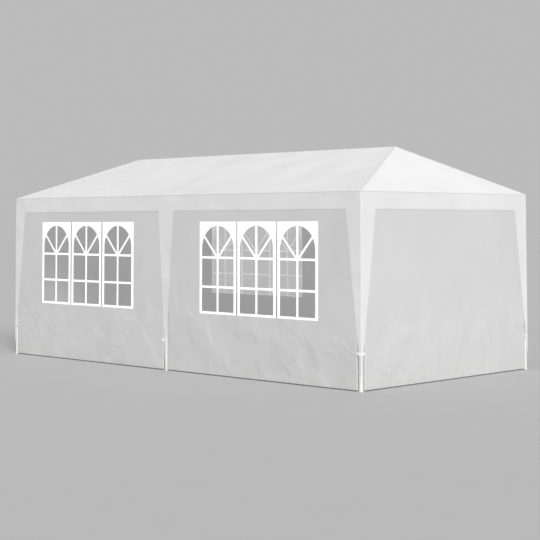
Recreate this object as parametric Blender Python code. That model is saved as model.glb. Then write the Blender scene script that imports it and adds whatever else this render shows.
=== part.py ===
"""Marquee tent: a hipped cloth cover on a frame of steel tubes, closed by six cloth walls.

Metres, +Z up. The long sides face -Y (front) and +Y (back), and the ends face -X (left) and +X (right).
The origin is on the ground, under the middle of the tent.
"""

import math

import bmesh
import bpy
from mathutils import Euler, Vector

# Outside of the cover
LENGTH = 6.0
WIDTH = 3.0
EAVE_HEIGHT = 2.05
RIDGE_HEIGHT = 2.59
# From an end of the tent to the nearer end of the ridge, seen from above
HIP_RUN = 0.755

# Cloth is drawn thicker than the real woven sheet, and pieces that touch keep a hair's gap
CLOTH = 0.003
SEAM_GAP = 0.0003

# The valance hangs from the eave, with a tapered strip down each leg
VALANCE_DEPTH = 0.187
STRIP_END_HEIGHT = 0.39
SIDE_STRIP_TOP = 0.205
END_STRIP_TOP = 0.24
CORNER_STRIP_FOOT = 0.038
MIDDLE_STRIP_TOP = 0.26
MIDDLE_STRIP_FOOT = 0.045
# Metres that the valance and its strips stand out for each metre down, over the leaning legs
FLARE = 0.0035

# Tubes, and the moulded joints that they push into
LEG_DIAMETER = 0.044
TUBE_DIAMETER = 0.028
TUBE_WALL = 0.001
SOCKET_WALL = 0.0025
SOCKET_FIT = 0.0003
SOCKET_GRIP = 0.055
HUB_SWELL = 0.001
SKIRT_CLEARANCE = 0.001
ROUND_SIDES = 24
HUB_RINGS = 12
# Turns a hub's facets out of line with its sockets' facets
HUB_TURN = Euler((0.2, 0.3, 0.1)).to_matrix()

# A leg's foot stands this far outside the joint on its head
FOOT_SPREAD = 0.012

# Round plate on the ground under each leg, with two peg holes
FOOT_DIAMETER = 0.072
FOOT_THICKNESS = 0.003
PEG_HOLE = 0.008
PEG_HOLE_SIDES = 12

# Side walls, and the window let into each bay of the long sides, below the valance's hem
WALL_HEM_HEIGHT = 0.04
WALL_SIDE_GAP = 0.012
WINDOW_WIDTH = 1.825
WINDOW_HEIGHT = 1.044
WINDOW_DROP = 0.127
FILM = 0.0015
FILM_LAP = 0.02

# A cutter reaches this far past what it cuts
CUT_MARGIN = 0.02

SIDE_SLOPE = math.atan2(RIDGE_HEIGHT - EAVE_HEIGHT, WIDTH / 2)
END_SLOPE = math.atan2(RIDGE_HEIGHT - EAVE_HEIGHT, HIP_RUN)
COVER_DROP = CLOTH / math.cos(max(SIDE_SLOPE, END_SLOPE))
WINDOW_HEAD = EAVE_HEIGHT - VALANCE_DEPTH - WINDOW_DROP
WINDOW_SILL = WINDOW_HEAD - WINDOW_HEIGHT

LEG_SOCKET_RADIUS = LEG_DIAMETER / 2 + SOCKET_FIT + SOCKET_WALL
TUBE_SOCKET_RADIUS = TUBE_DIAMETER / 2 + SOCKET_FIT + SOCKET_WALL
HUB_RADIUS = max(LEG_SOCKET_RADIUS, TUBE_SOCKET_RADIUS) + HUB_SWELL

# Centre lines of the frame: the hubs touch the underside of the cover
LEG_INSET = CLOTH + SKIRT_CLEARANCE + HUB_RADIUS
SIDE_DROP = COVER_DROP + (HUB_RADIUS + SEAM_GAP) / math.cos(SIDE_SLOPE)
END_DROP = COVER_DROP + (HUB_RADIUS + SEAM_GAP) / math.cos(END_SLOPE)
FRAME_X = LENGTH / 2 - LEG_INSET
FRAME_Y = WIDTH / 2 - LEG_INSET
FRAME_EAVE = EAVE_HEIGHT + min(
    LEG_INSET * math.tan(SIDE_SLOPE) - SIDE_DROP,
    LEG_INSET * math.tan(END_SLOPE) - END_DROP,
)
FRAME_RIDGE = RIDGE_HEIGHT - SIDE_DROP
FRAME_RIDGE_X = LENGTH / 2 - (FRAME_RIDGE - EAVE_HEIGHT + END_DROP) / math.tan(END_SLOPE)

# The hip tube leaves a corner close beside the end's eave tube, so the sockets start where those two part
HIP = Vector((FRAME_RIDGE_X - FRAME_X, FRAME_Y, FRAME_RIDGE - FRAME_EAVE))
NARROWEST = HIP.angle(Vector((0, 1, 0)))
SOCKET_START = TUBE_SOCKET_RADIUS / math.sin(NARROWEST / 2)
SOCKET_MOUTH = SOCKET_START + SOCKET_GRIP

BAY_CENTRE = LENGTH / 4
SIDES = {"left": -1, "right": 1}
FACES = {"front": -1, "back": 1}


def clear_scene():
    for old in list(bpy.data.objects):
        bpy.data.objects.remove(old)


def make_material(name, colour, roughness, metallic=0.0, transmission=0.0):
    material = bpy.data.materials.new(name)
    material.use_nodes = True
    shader = material.node_tree.nodes["Principled BSDF"]
    shader.inputs["Base Color"].default_value = (*colour, 1.0)
    shader.inputs["Roughness"].default_value = roughness
    shader.inputs["Metallic"].default_value = metallic
    shader.inputs["Transmission Weight"].default_value = transmission
    material.diffuse_color = (*colour, 1.0)
    return material


def new_object(name, mesh, material=None, location=(0, 0, 0), rotation=None):
    placed = bpy.data.objects.new(name, mesh)
    placed.location = location
    if rotation is not None:
        placed.rotation_mode = "QUATERNION"
        placed.rotation_quaternion = rotation
    if material is not None:
        mesh.materials.clear()
        mesh.materials.append(material)
    bpy.context.scene.collection.objects.link(placed)
    return placed


def mesh_from(shape, name):
    mesh = bpy.data.meshes.new(name)
    shape.to_mesh(mesh)
    shape.free()
    return mesh


def cylinder(name, radius, length, sides=ROUND_SIDES, capped=True):
    """A round bar, or an open skin, along Z about the origin."""
    shape = bmesh.new()
    bmesh.ops.create_cone(
        shape, cap_ends=capped, segments=sides, radius1=radius, radius2=radius, depth=length
    )
    return mesh_from(shape, name)


def bar(name, radius, start, end, sides=ROUND_SIDES):
    """A round solid bar from start to end."""
    along = end - start
    return new_object(
        name,
        cylinder(name, radius, along.length, sides),
        location=(start + end) / 2,
        rotation=along.to_track_quat("Z", "X"),
    )


def swept_sheet(name, points, faces, sweep):
    """The closed solid that a sheet of faces covers as it moves by sweep."""
    shape = bmesh.new()
    corners = [shape.verts.new(point) for point in points]
    for face in faces:
        shape.faces.new([corners[i] for i in face])
    grown = bmesh.ops.extrude_face_region(shape, geom=shape.faces[:], use_keep_orig=True)
    moved = [part for part in grown["geom"] if isinstance(part, bmesh.types.BMVert)]
    bmesh.ops.translate(shape, vec=sweep, verts=moved)
    bmesh.ops.recalc_face_normals(shape, faces=shape.faces[:])
    return mesh_from(shape, name)


def combine(body, tools, operation):
    """Joins the tools to a body, or cuts them from it, and removes them."""
    for tool in tools:
        step = body.modifiers.new(tool.name, "BOOLEAN")
        step.operation = operation
        step.solver = "EXACT"
        step.object = tool
    settle(body)
    for tool in tools:
        bpy.data.objects.remove(tool)


def settle(body):
    """Makes an object's modifiers part of its mesh."""
    bpy.context.view_layer.update()
    graph = bpy.context.evaluated_depsgraph_get()
    mesh = bpy.data.meshes.new_from_object(body.evaluated_get(graph))
    body.modifiers.clear()
    body.data = mesh


def smooth_round(mesh):
    mesh.shade_smooth()
    mesh.set_sharp_from_angle(angle=math.radians(35))


def hollow_tube(name, diameter, length):
    """An open steel tube along Z about the origin."""
    skin = new_object(name, cylinder(name, diameter / 2, length, capped=False))
    wall = skin.modifiers.new("wall", "SOLIDIFY")
    wall.thickness = TUBE_WALL
    wall.offset = -1
    settle(skin)
    return skin


def frame_tube(name, start, end, material):
    """A tube between two joints, its ends pushed to the bottom of their sockets."""
    along = (end - start).normalized()
    first = start + along * SOCKET_START
    last = end - along * SOCKET_START
    tube = hollow_tube(name, TUBE_DIAMETER, (last - first).length)
    tube.location = (first + last) / 2
    tube.rotation_mode = "QUATERNION"
    tube.rotation_quaternion = along.to_track_quat("Z", "X")
    tube.data.materials.append(material)
    smooth_round(tube.data)


def leg(name, foot, head, material):
    """A leg tube that leans from its joint to a round foot plate, which it is welded on."""
    plate = bar(name, FOOT_DIAMETER / 2, Vector((0, 0, 0)), Vector((0, 0, FOOT_THICKNESS)))
    along = (head - foot).normalized()
    bottom = along * FOOT_THICKNESS / 2
    top = head - foot - along * SOCKET_START
    tube = hollow_tube("leg_tube", LEG_DIAMETER, (top - bottom).length)
    tube.location = (top + bottom) / 2
    tube.rotation_mode = "QUATERNION"
    tube.rotation_quaternion = along.to_track_quat("Z", "X")
    combine(plate, [tube], "UNION")
    hole_at = (LEG_DIAMETER + FOOT_DIAMETER) / 4
    pegs = [
        bar(
            f"peg_hole_{side}",
            PEG_HOLE / 2,
            Vector((hole_at * sign, 0, -CUT_MARGIN)),
            Vector((hole_at * sign, 0, FOOT_THICKNESS + CUT_MARGIN)),
            PEG_HOLE_SIDES,
        )
        for side, sign in SIDES.items()
    ]
    combine(plate, pegs, "DIFFERENCE")
    plate.location += foot
    plate.data.materials.clear()
    plate.data.materials.append(material)
    smooth_round(plate.data)


def joint(name, centre, arms, material):
    """A moulded joint: a round hub with a blind socket for each arm, given as (direction, socket radius)."""
    shape = bmesh.new()
    bmesh.ops.create_uvsphere(
        shape, u_segments=ROUND_SIDES, v_segments=HUB_RINGS, radius=HUB_RADIUS
    )
    bmesh.ops.rotate(shape, verts=shape.verts, cent=(0, 0, 0), matrix=HUB_TURN)
    hub = new_object(name, mesh_from(shape, name), location=centre)
    sockets, bores = [], []
    for number, (direction, radius) in enumerate(arms):
        along = direction.normalized()
        sockets.append(
            bar(f"socket_{number}", radius, centre, centre + along * SOCKET_MOUTH)
        )
        # The flats of the bore clear the corners of the tube
        bore = (radius - SOCKET_WALL) / math.cos(math.pi / ROUND_SIDES)
        bores.append(
            bar(
                f"bore_{number}",
                bore,
                centre + along * (SOCKET_START - SEAM_GAP),
                centre + along * (SOCKET_MOUTH + CUT_MARGIN),
            )
        )
    combine(hub, sockets, "UNION")
    combine(hub, bores, "DIFFERENCE")
    hub.data.materials.clear()
    hub.data.materials.append(material)
    smooth_round(hub.data)


def make_frame(steel, plastic):
    ridge = {
        "left": Vector((-FRAME_RIDGE_X, 0, FRAME_RIDGE)),
        "middle": Vector((0, 0, FRAME_RIDGE)),
        "right": Vector((FRAME_RIDGE_X, 0, FRAME_RIDGE)),
    }
    inward = {"left": Vector((1, 0, 0)), "right": Vector((-1, 0, 0))}
    hips = {"left": [], "right": []}
    for face, face_sign in FACES.items():
        across = Vector((0, -face_sign, 0))
        middle = Vector((0, FRAME_Y * face_sign, FRAME_EAVE))
        foot = Vector((0, (FRAME_Y + FOOT_SPREAD) * face_sign, 0))
        leg(f"leg_{face}_middle", foot, middle, steel)
        rafter = ridge["middle"] - middle
        frame_tube(f"rafter_tube_{face}", middle, ridge["middle"], steel)
        joint(
            f"eave_joint_{face}",
            middle,
            [
                (foot - middle, LEG_SOCKET_RADIUS),
                (inward["left"], TUBE_SOCKET_RADIUS),
                (inward["right"], TUBE_SOCKET_RADIUS),
                (rafter, TUBE_SOCKET_RADIUS),
            ],
            plastic,
        )
        for side, side_sign in SIDES.items():
            corner = Vector((FRAME_X * side_sign, middle.y, FRAME_EAVE))
            hip = ridge[side] - corner
            hips[side].append((-hip, TUBE_SOCKET_RADIUS))
            foot = Vector(
                ((FRAME_X + FOOT_SPREAD) * side_sign, (FRAME_Y + FOOT_SPREAD) * face_sign, 0)
            )
            leg(f"leg_{face}_{side}", foot, corner, steel)
            frame_tube(f"eave_tube_{face}_{side}", middle, corner, steel)
            frame_tube(f"hip_tube_{face}_{side}", corner, ridge[side], steel)
            joint(
                f"corner_joint_{face}_{side}",
                corner,
                [
                    (foot - corner, LEG_SOCKET_RADIUS),
                    (inward[side], TUBE_SOCKET_RADIUS),
                    (across, TUBE_SOCKET_RADIUS),
                    (hip, TUBE_SOCKET_RADIUS),
                ],
                plastic,
            )
    for side, side_sign in SIDES.items():
        front = Vector((FRAME_X * side_sign, -FRAME_Y, FRAME_EAVE))
        back = Vector((front.x, FRAME_Y, FRAME_EAVE))
        frame_tube(f"eave_tube_{side}_end", front, back, steel)
        frame_tube(f"ridge_tube_{side}", ridge["middle"], ridge[side], steel)
        ridge_arm = (inward[side], TUBE_SOCKET_RADIUS)
        joint(f"ridge_joint_{side}", ridge[side], [ridge_arm, *hips[side]], plastic)
    rafters = [Vector((0, FRAME_Y * sign, FRAME_EAVE)) - ridge["middle"] for sign in (-1, 1)]
    joint(
        "ridge_joint_middle",
        ridge["middle"],
        [(arm, TUBE_SOCKET_RADIUS) for arm in (*inward.values(), *rafters)],
        plastic,
    )


def make_roof_cover(cloth):
    """The hipped sheet over the frame, from the eave edge up."""
    x, y = LENGTH / 2, WIDTH / 2
    ridge_x = x - HIP_RUN
    points = [
        (-x, -y, EAVE_HEIGHT),
        (x, -y, EAVE_HEIGHT),
        (x, y, EAVE_HEIGHT),
        (-x, y, EAVE_HEIGHT),
        (-ridge_x, 0, RIDGE_HEIGHT),
        (ridge_x, 0, RIDGE_HEIGHT),
    ]
    slopes = [(0, 1, 5, 4), (2, 3, 4, 5), (1, 2, 5), (3, 0, 4)]
    mesh = swept_sheet("roof_cover", points, slopes, (0, 0, -COVER_DROP))
    new_object("roof_cover", mesh, cloth)


def flare(height):
    """How far the valance's plane stands out from the eave at a height."""
    return FLARE * (EAVE_HEIGHT - height)


def valance_outline(half, strip_top, middle):
    """(along, height) corners of a valance and its strips, from one end of a side to the other.

    The outer edge is at half, which on the ends stops short of the cover's corner.
    """
    top = EAVE_HEIGHT - COVER_DROP - SEAM_GAP
    hem = EAVE_HEIGHT - VALANCE_DEPTH
    corner = LENGTH / 2 if middle else WIDTH / 2
    right = [
        (half + flare(top), top),
        (half + flare(STRIP_END_HEIGHT), STRIP_END_HEIGHT),
        (corner + flare(STRIP_END_HEIGHT) - CORNER_STRIP_FOOT, STRIP_END_HEIGHT),
        (corner - strip_top, hem),
    ]
    if middle:
        right += [
            (MIDDLE_STRIP_TOP / 2, hem),
            (MIDDLE_STRIP_FOOT / 2, STRIP_END_HEIGHT),
        ]
    left = [(-along, height) for along, height in reversed(right)]
    return right + left


def make_valances(cloth):
    for face, sign in FACES.items():
        outline = valance_outline(LENGTH / 2, SIDE_STRIP_TOP, middle=True)
        points = [
            (along, (WIDTH / 2 + flare(height)) * sign, height) for along, height in outline
        ]
        name = f"valance_{face}"
        mesh = swept_sheet(name, points, [range(len(points))], (0, -CLOTH * sign, 0))
        new_object(name, mesh, cloth)
    for side, sign in SIDES.items():
        half = WIDTH / 2 - CLOTH - SEAM_GAP
        outline = valance_outline(half, END_STRIP_TOP, middle=False)
        points = [
            ((LENGTH / 2 + flare(height)) * sign, along, height) for along, height in outline
        ]
        name = f"valance_{side}_end"
        mesh = swept_sheet(name, points, [range(len(points))], (-CLOTH * sign, 0, 0))
        new_object(name, mesh, cloth)


def upright_sheet(name, low, high, outward, thickness, material):
    """A flat sheet between two corners that share a plane, standing from it towards outward."""
    along = Vector((high.x - low.x, high.y - low.y, 0))
    rise = Vector((0, 0, high.z - low.z))
    points = [low, low + along, low + along + rise, low + rise]
    mesh = swept_sheet(name, points, [range(4)], outward * thickness)
    return new_object(name, mesh, material)


def make_walls(cloth, film):
    """Walls hang outside the eave tubes, against the valance, and end beside the legs.

    Each window is clear film welded over a hole.
    """
    edge = LEG_DIAMETER / 2 + WALL_SIDE_GAP
    top = FRAME_EAVE
    inset = 2 * CLOTH + SEAM_GAP
    for face, face_sign in FACES.items():
        outward = Vector((0, face_sign, 0))
        inner = (WIDTH / 2 - inset) * face_sign
        for side, side_sign in SIDES.items():
            wall = upright_sheet(
                f"wall_{face}_{side}",
                Vector((edge * side_sign, inner, WALL_HEM_HEIGHT)),
                Vector(((FRAME_X - edge) * side_sign, inner, top)),
                outward,
                CLOTH,
                cloth,
            )
            left, right = (BAY_CENTRE * side_sign + WINDOW_WIDTH / 2 * s for s in (-1, 1))
            cutter = upright_sheet(
                "window_hole",
                Vector((left + FILM_LAP, inner - face_sign * CUT_MARGIN, WINDOW_SILL + FILM_LAP)),
                Vector((right - FILM_LAP, inner - face_sign * CUT_MARGIN, WINDOW_HEAD - FILM_LAP)),
                outward,
                CLOTH + 2 * CUT_MARGIN,
                None,
            )
            combine(wall, [cutter], "DIFFERENCE")
            wall_face = inner + face_sign * (CLOTH + SEAM_GAP)
            upright_sheet(
                f"window_{face}_{side}",
                Vector((left, wall_face, WINDOW_SILL)),
                Vector((right, wall_face, WINDOW_HEAD)),
                outward,
                FILM,
                film,
            )
    for side, sign in SIDES.items():
        inner = (LENGTH / 2 - inset) * sign
        upright_sheet(
            f"wall_{side}_end",
            Vector((inner, -(FRAME_Y - edge), WALL_HEM_HEIGHT)),
            Vector((inner, FRAME_Y - edge, top)),
            Vector((sign, 0, 0)),
            CLOTH,
            cloth,
        )


def make_tent():
    clear_scene()
    cover_cloth = make_material("cover_cloth", (0.80, 0.80, 0.80), 0.55)
    wall_cloth = make_material("wall_cloth", (0.62, 0.62, 0.62), 0.6)
    film = make_material("window_film", (0.9, 0.92, 0.92), 0.08, transmission=0.9)
    steel = make_material("coated_steel", (0.78, 0.78, 0.78), 0.35, metallic=0.1)
    plastic = make_material("joint_plastic", (0.72, 0.72, 0.72), 0.45)
    make_frame(steel, plastic)
    make_roof_cover(cover_cloth)
    make_valances(cover_cloth)
    make_walls(wall_cloth, film)
    tent = bpy.data.objects.new("marquee_tent", None)
    bpy.context.scene.collection.objects.link(tent)
    for piece in bpy.context.scene.objects:
        if piece.type == "MESH":
            piece.parent = tent


make_tent()
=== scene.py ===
"""Looks of the marquee tent: its cloth, windows, seams and ties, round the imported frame.

Metres, +Z up. The front is -Y, and the ends are -X (left) and +X (right), as in the CAD source.
"""

import math

import bmesh
import bpy
import numpy as np
from mathutils import Matrix, Vector, geometry


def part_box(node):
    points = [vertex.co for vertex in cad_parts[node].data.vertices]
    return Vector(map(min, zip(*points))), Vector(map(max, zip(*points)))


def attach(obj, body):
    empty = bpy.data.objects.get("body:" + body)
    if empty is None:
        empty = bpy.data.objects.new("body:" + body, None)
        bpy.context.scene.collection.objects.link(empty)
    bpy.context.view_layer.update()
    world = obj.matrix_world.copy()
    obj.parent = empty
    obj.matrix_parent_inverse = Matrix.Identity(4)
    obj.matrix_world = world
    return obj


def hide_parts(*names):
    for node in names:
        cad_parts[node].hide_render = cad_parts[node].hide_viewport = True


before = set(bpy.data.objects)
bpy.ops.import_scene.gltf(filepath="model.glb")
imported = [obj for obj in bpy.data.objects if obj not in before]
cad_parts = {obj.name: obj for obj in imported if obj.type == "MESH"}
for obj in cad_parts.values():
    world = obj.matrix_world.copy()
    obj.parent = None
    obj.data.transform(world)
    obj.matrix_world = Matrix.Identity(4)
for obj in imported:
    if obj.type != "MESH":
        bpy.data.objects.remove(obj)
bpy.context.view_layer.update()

# The cover, as in the CAD source, with the middle strip's widths halved. The strips' tails, from
# STRIP_TIP down to TAIL_END, are in this script alone
HALF_LENGTH = 3.0
HALF_WIDTH = 1.5
EAVE = 2.05
RIDGE = 2.59
HIP_RUN = 0.755
HEM = 1.863
STRIP_END = 0.39
STRIP_TIP = 0.372
TAIL_END = 0.11
STRIP_TOP = {"side": 0.205, "end": 0.24}
STRIP_FOOT = 0.038
MIDDLE_STRIP_TOP = 0.13
MIDDLE_STRIP_FOOT = 0.0225
FLARE = 0.0035
HALF = {"side": HALF_LENGTH, "end": HALF_WIDTH}
SLOPE = {"side": math.hypot(HALF_WIDTH, RIDGE - EAVE), "end": math.hypot(HIP_RUN, RIDGE - EAVE)}

# The frame's centre lines
side_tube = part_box("eave_tube_front_right")
end_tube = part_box("eave_tube_right_end")
FRAME_X = (end_tube[0].x + end_tube[1].x) / 2
FRAME_Y = -(side_tube[0].y + side_tube[1].y) / 2
FRAME_EAVE = (side_tube[0].z + side_tube[1].z) / 2
FOOT_SPREAD = 0.012
LEG_RADIUS = 0.022
TUBE_RADIUS = 0.014

# The roof's sag between the tubes, and its soft buckles
ROOF_SAG = 0.007
ROOF_BUCKLE = 0.0012
# The radius of the valance's fold at a corner: at the eave, and what is added at the strips' ends
CORNER_FOLD = 0.001
FOOT_FOLD = 0.003
# How far a middle strip's edges lie back, and the loose cloth stands out, with waves out and up
MIDDLE_STRIP_BOW = 0.0015
VALANCE_STAND = 0.0009
VALANCE_WAVES = 0.0004
HEM_WAVES = 0.0009

# Cloth, and the tapes sewn to it
CLOTH = 0.0005
TAPE = 0.0005
HEM_WIDTH = 0.018
SEAM_WIDTH = 0.012
CLOTH_GRID = 0.03
# Stitches: how far across its tape a line of them runs, how far out their middles lie, and their size
STITCH_LINE = 0.8
STITCH_LIFT = 0.0002
STITCH_PITCH = 0.012
STITCH_LENGTH = 0.0075
THREAD = 0.0008
# Eyelets: about how far apart, how far from a wall's turned strip, its foot and its outer face, and radii
EYELET_PITCH = 0.95
EYELET_INSET = 0.014
EYELET_RAISE = 0.011
EYELET_LIFT = 0.0002
EYELET_HOLE = 0.004
EYELET_RIM = 0.0014

# Ties: thickness, widths, heights, and the gap to the leg they go round
TIE = 0.0012
LOW_TIE_WIDTH = 0.034
TIE_WIDTH = 0.022
TIE_HEIGHTS = (0.383, 0.8, 1.22, 1.62)
MIDDLE_TIE = 0.352
TIE_GAP = 0.0004
# A knot's size, and the radii of its strand and its hanging ends
KNOT_SIZE = 0.015
KNOT_RADIUS = 0.0019
TAIL_RADIUS = 0.0014

# Hung walls
WALL_INSET = HALF_WIDTH - max(abs(corner.y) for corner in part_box("wall_front_right"))
WALL_FOOT = 0.012
# A wall's side edges turn in beside the legs: how far from a leg's axis, how wide, and how sharply
TURN_PLACE = {"corner": 0.032, "middle": 0.040}
TURN_WIDTH = 0.026
TURN_RADIUS = 0.005
# The gap behind the cover's strips, the waves of the slack cloth, and the scallops between the ties
STRIP_GAP = 0.0003
SIDE_WAVES = 0.003
END_WAVES = 0.0015
TIE_SCALLOP = 0.002
# The sag of the top edge between its loops, and how far apart, how long and how wide the loops are
LOOP_SAG = 0.004
LOOP_PITCH = 0.47
LOOP_DROP = 0.05
LOOP_HALF_WIDTH = 0.01
# How far the cloth runs behind the film's edge, and how far outside that edge its stitches are
WINDOW_LAP = 0.02
WELT_GAP = 0.008

FACES = {"front": ("side", -1), "back": ("side", 1), "left_end": ("end", -1), "right_end": ("end", 1)}
WALL_TUBES = {
    "front_left": "eave_tube_front_left",
    "front_right": "eave_tube_front_right",
    "back_left": "eave_tube_back_left",
    "back_right": "eave_tube_back_right",
    "left_end": "eave_tube_left_end",
    "right_end": "eave_tube_right_end",
}


# Camera and stage


def place_camera():
    """The photo's viewpoint, fitted to the tent's edges and corners with its plan held at 6 m by 3 m.

    It looks slightly up, with a shifted lens.
    """
    yaw, pitch, roll = (math.radians(angle) for angle in (44.239, 2.119, -0.109))
    forward = Vector(
        (-math.sin(yaw) * math.cos(pitch), math.cos(yaw) * math.cos(pitch), math.sin(pitch))
    )
    level = Vector((math.cos(yaw), math.sin(yaw), 0))
    upright = level.cross(forward)
    right = math.cos(roll) * level + math.sin(roll) * upright
    up = math.cos(roll) * upright - math.sin(roll) * level
    camera = bpy.data.objects.new("camera", bpy.data.cameras.new("camera"))
    camera.data.lens = 90.366
    camera.data.sensor_width = 36
    camera.data.shift_y = -0.18
    camera.data.clip_end = 300
    axes = Matrix((right, up, -forward)).transposed().to_4x4()
    camera.matrix_world = Matrix.Translation((11.9987, -12.0662, 1.7201)) @ axes
    bpy.context.scene.collection.objects.link(camera)
    bpy.context.scene.camera = camera


def light_stage():
    """One broad lamp about 32 degrees up, off the right front corner, and an even white sky."""
    sun = bpy.data.lights.new("key", "SUN")
    sun.energy = 3.9
    sun.angle = math.radians(25)
    holder = bpy.data.objects.new("key", sun)
    holder.rotation_mode = "QUATERNION"
    holder.rotation_quaternion = Vector((0.685, -0.506, 0.527)).to_track_quat("Z", "Y")
    bpy.context.scene.collection.objects.link(holder)
    world = bpy.data.worlds.new("studio")
    world.use_nodes = True
    world.node_tree.nodes["Background"].inputs["Color"].default_value = (1, 1, 1, 1)
    world.node_tree.nodes["Background"].inputs["Strength"].default_value = 0.5
    bpy.context.scene.world = world
    bpy.context.scene.view_settings.view_transform = "Standard"


def lay_floor(material):
    mesh = bpy.data.meshes.new("studio_floor")
    far = 120
    depth = -0.0004
    mesh.from_pydata(
        [(-far, -far, depth), (far, -far, depth), (far, far, depth), (-far, far, depth)],
        [],
        [(0, 1, 2, 3)],
    )
    mesh.materials.append(material)
    floor = bpy.data.objects.new("studio_floor", mesh)
    bpy.context.scene.collection.objects.link(floor)


# Materials


class Shading:
    """A material or a node group under construction."""

    def __init__(self, tree):
        self.tree = tree

    def node(self, kind, settings=None, **inputs):
        made = self.tree.nodes.new(kind)
        for key, value in (settings or {}).items():
            setattr(made, key, value)
        self.set_inputs(made, **inputs)
        return made

    def set_inputs(self, node, **inputs):
        """Feeds inputs named as the node's sockets are, with _ for a space, or i0, i1 by number."""
        for key, value in inputs.items():
            numbered = key[0] == "i" and key[1:].isdigit()
            self.feed(node.inputs[int(key[1:]) if numbered else key.replace("_", " ")], value)

    def feed(self, socket, value):
        if isinstance(value, bpy.types.NodeSocket):
            self.tree.links.new(value, socket)
        else:
            socket.default_value = value

    def math(self, operation, *values):
        return self.node(
            "ShaderNodeMath", {"operation": operation}, **{f"i{n}": v for n, v in enumerate(values)}
        ).outputs[0]

    def plus(self, *values):
        return self.math("ADD", *values)

    def times(self, *values):
        return self.math("MULTIPLY", *values)

    def ramp(self, value, low, high, start=0.0, end=1.0):
        """Runs smoothly from start to end as a value goes from low to high."""
        return self.node(
            "ShaderNodeMapRange",
            {"interpolation_type": "SMOOTHSTEP"},
            Value=value,
            From_Min=low,
            From_Max=high,
            To_Min=start,
            To_Max=end,
        ).outputs[0]

    def noise(self, place, scale, detail=2.0):
        return self.node("ShaderNodeTexNoise", Vector=place, Scale=scale, Detail=detail).outputs["Fac"]

    def tint(self, mask, colour, other):
        """One colour where a mask is 0, and the other where it is 1."""
        mix = self.node("ShaderNodeMix", {"data_type": "RGBA"}, Factor=mask)
        self.feed(mix.inputs[6], colour)
        self.feed(mix.inputs[7], other)
        return mix.outputs[2]

    def place(self):
        return self.node("ShaderNodeTexCoord").outputs["Object"]

    def height_above_ground(self):
        return self.node("ShaderNodeSeparateXYZ", Vector=self.place()).outputs["Z"]

    def bump(self, height):
        """A normal from a height in metres."""
        return self.node("ShaderNodeBump", Height=height, Distance=1.0, Strength=1.0).outputs[0]


def shared_group(name, outputs, build):
    """A node group without inputs: build takes its Shading and gives one value for each output."""
    tree = bpy.data.node_groups.new(name, "ShaderNodeTree")
    for output, kind in outputs.items():
        tree.interface.new_socket(output, in_out="OUTPUT", socket_type=kind)
    shading = Shading(tree)
    result = tree.nodes.new("NodeGroupOutput")
    for socket, value in zip(result.inputs, build(shading)):
        shading.feed(socket, value)
    return tree


# Width and height of a woven tape, heights of the creases, the crinkle and the folds from packing, and how
# far apart these folds are in each direction
WEAVE_WIDTH = 0.0026
WEAVE_HEIGHT = 0.00006
CREASE_HEIGHT = 0.0009
CRINKLE_HEIGHT = 0.0016
PACKED_HEIGHT = 0.00025
PACKED_FOLDS = (("X", 0.53), ("Y", 0.41))


def woven_tapes(shading):
    """Height of the crossing tapes of coated polyethylene, on the cut of the cloth."""
    cut = shading.node("ShaderNodeUVMap", {"uv_map": "cut"}).outputs[0]
    parts = shading.node("ShaderNodeSeparateXYZ", Vector=cut)
    turn = math.pi / WEAVE_WIDTH
    warp = shading.math("SINE", shading.times(parts.outputs["X"], turn))
    weft = shading.math("SINE", shading.times(parts.outputs["Y"], turn))
    over = shading.math("GREATER_THAN", shading.times(warp, weft), 0.0)
    tapes = shading.node("ShaderNodeMix", Factor=over)
    shading.feed(tapes.inputs[2], shading.math("ABSOLUTE", warp))
    shading.feed(tapes.inputs[3], shading.math("ABSOLUTE", weft))
    return [shading.times(tapes.outputs[0], WEAVE_HEIGHT)]


def wrinkled(lean, stretch, swell_height, drag_height, hanging):
    """Gives the build function of a cloth's wrinkles, which are drawn out along a leaning line.

    Hanging cloth has most of them low down.
    """

    def build(shading):
        """Height of the wrinkles, and how crumpled the cloth is."""
        cut = shading.node("ShaderNodeUVMap", {"uv_map": "cut"}).outputs[0]
        parts = shading.node("ShaderNodeSeparateXYZ", Vector=cut)

        def drawn(scale, length):
            slanted = shading.node(
                "ShaderNodeMapping",
                {"vector_type": "TEXTURE"},
                Vector=cut,
                Rotation=(0, 0, lean),
                Scale=(1, length, 1),
            )
            return shading.noise(slanted.outputs[0], scale, 3.0)

        crumpled = shading.ramp(shading.noise(cut, 1.7, 2.0), 0.40, 0.60)
        if hanging:
            low = shading.ramp(shading.height_above_ground(), 0.45, 1.1, 1.0, 0.25)
            crumpled = shading.times(crumpled, low)
        swells = shading.times(shading.noise(cut, 3.0, 2.0), swell_height)
        drags = shading.times(drawn(5.5, stretch), drag_height)
        calm = shading.ramp(crumpled, 0.0, 1.0, 0.2, 1.0)
        soft = shading.times(shading.plus(swells, drags), calm)
        ridge = shading.math("ABSOLUTE", shading.math("SUBTRACT", drawn(5.0, stretch + 1), 0.5))
        creases = shading.times(shading.ramp(ridge, 0.0, 0.035, 1.0, 0.0), CREASE_HEIGHT)
        crinkle = shading.times(shading.noise(cut, 19.0, 5.0), CRINKLE_HEIGHT)
        wander = shading.times(shading.noise(cut, 1.3), 0.06)
        folds = []
        for axis, spacing in PACKED_FOLDS:
            gap = shading.math("PINGPONG", shading.plus(parts.outputs[axis], wander), spacing / 2)
            folds.append(shading.ramp(gap, 0.0, 0.012, 1.0, 0.0))
        packed = shading.times(shading.plus(*folds), PACKED_HEIGHT)
        sharp = shading.plus(shading.plus(creases, crinkle), packed)
        return [shading.plus(soft, shading.times(sharp, crumpled)), crumpled]

    return build


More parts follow.
